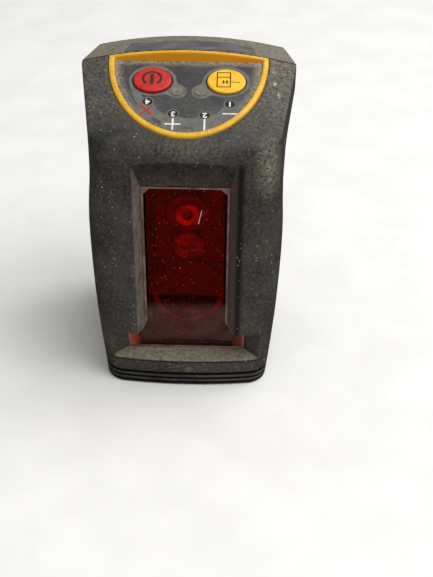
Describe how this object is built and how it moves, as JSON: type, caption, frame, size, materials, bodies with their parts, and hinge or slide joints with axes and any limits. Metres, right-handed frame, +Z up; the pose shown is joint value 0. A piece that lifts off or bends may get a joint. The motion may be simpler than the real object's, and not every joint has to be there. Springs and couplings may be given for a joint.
{
  "type": "laser level",
  "caption": "Upright self-levelling cross-line laser level: dark moulded housing, red T-shaped beam window, sloping keypad with press keys, battery door, ribbed foot, tripod thread.",
  "frame": {"origin": "centre of the bounding box's underside, on the surface that the foot stands on", "axes": "+Z up; the beam window faces -Y; +X is to the right of a person facing the window"},
  "size_m": [0.0836, 0.076, 0.1318],
  "materials": {
    "housing_plastic": "matte",
    "seal_rubber": "matte",
    "foot_rubber": "matte",
    "steel": "satin",
    "bezel_plastic": "satin",
    "keypad_film": "satin",
    "red_key": "satin",
    "yellow_key": "satin",
    "black_plastic": "matte",
    "clear_plastic": "gloss",
    "led_plastic": "gloss",
    "circuit_board": "satin",
    "ribbon_film": "satin",
    "window_plastic": "gloss",
    "gasket_foam": "matte",
    "plate_film": "satin",
    "brass": "satin",
    "cell_jacket": "satin",
    "cast_metal": "satin",
    "damper_metal": "satin",
    "line_glass": "gloss",
    "magnet_plating": "polished"
  },
  "bodies": {
    "housing": {"front_shell": "housing_plastic", "rear_shell": "housing_plastic", "housing_seal": "seal_rubber", "housing_screws": "steel", "keypad_bezel": "bezel_plastic", "keypad_overlay": "keypad_film", "switch_bodies": "black_plastic", "indicator_lenses": "clear_plastic", "indicator_leds": "led_plastic", "keypad_board": "circuit_board", "keypad_board_screws": "steel", "keypad_ribbon": "ribbon_film", "window": "window_plastic", "window_gasket": "gasket_foam", "name_plate": "plate_film", "base_foot": "foot_rubber", "base_plate": "black_plastic", "base_screws": "steel", "tripod_insert": "brass", "battery_tray": "black_plastic", "battery_cells": "cell_jacket", "battery_contacts": "steel", "door_hinge_pin": "steel", "main_board": "circuit_board", "board_parts": "black_plastic", "board_screws": "steel", "gimbal_bracket": "cast_metal", "bracket_screws": "steel", "roll_bearings": "steel", "damping_plate": "damper_metal"},
    "power_key": {"power_key": "red_key", "power_switch_plunger": "black_plastic"},
    "pulse_key": {"pulse_key": "yellow_key", "pulse_switch_plunger": "black_plastic"},
    "battery_door": {"battery_door": "housing_plastic"},
    "gimbal": {"gimbal_ring": "cast_metal", "roll_pins": "steel", "pitch_bearings": "steel"},
    "pendulum": {"pitch_pin": "steel", "pendulum_body": "cast_metal", "upper_laser_barrel": "brass", "upper_line_lens": "line_glass", "lower_laser_barrel": "brass", "lower_line_lens": "line_glass", "balance_weight": "brass", "trim_screws": "steel", "damping_magnets": "magnet_plating"}
  },
  "joints": [
    {"name": "power_key_press", "type": "slide", "parent": "housing", "child": "power_key", "axis": [0, 0.3322, -0.9432], "range_m": [0, 0.0006], "stiffness_N_per_m": 2000},
    {"name": "pulse_key_press", "type": "slide", "parent": "housing", "child": "pulse_key", "axis": [0, 0.3322, -0.9432], "range_m": [0, 0.0006], "stiffness_N_per_m": 2000},
    {"name": "door_hinge", "type": "hinge", "parent": "housing", "child": "battery_door", "pos_m": [0, 0.0361, 0.026], "axis": [-1, 0, 0], "range_deg": [0, 95]},
    {"name": "gimbal_roll", "type": "hinge", "parent": "housing", "child": "gimbal", "pos_m": [0, -0.0031, 0.09], "axis": [0, 1, 0], "range_deg": [-5, 5]},
    {"name": "pendulum_pitch", "type": "hinge", "parent": "gimbal", "child": "pendulum", "pos_m": [0, -0.0031, 0.09], "axis": [1, 0, 0], "range_deg": [-5, 5]}
  ]
}
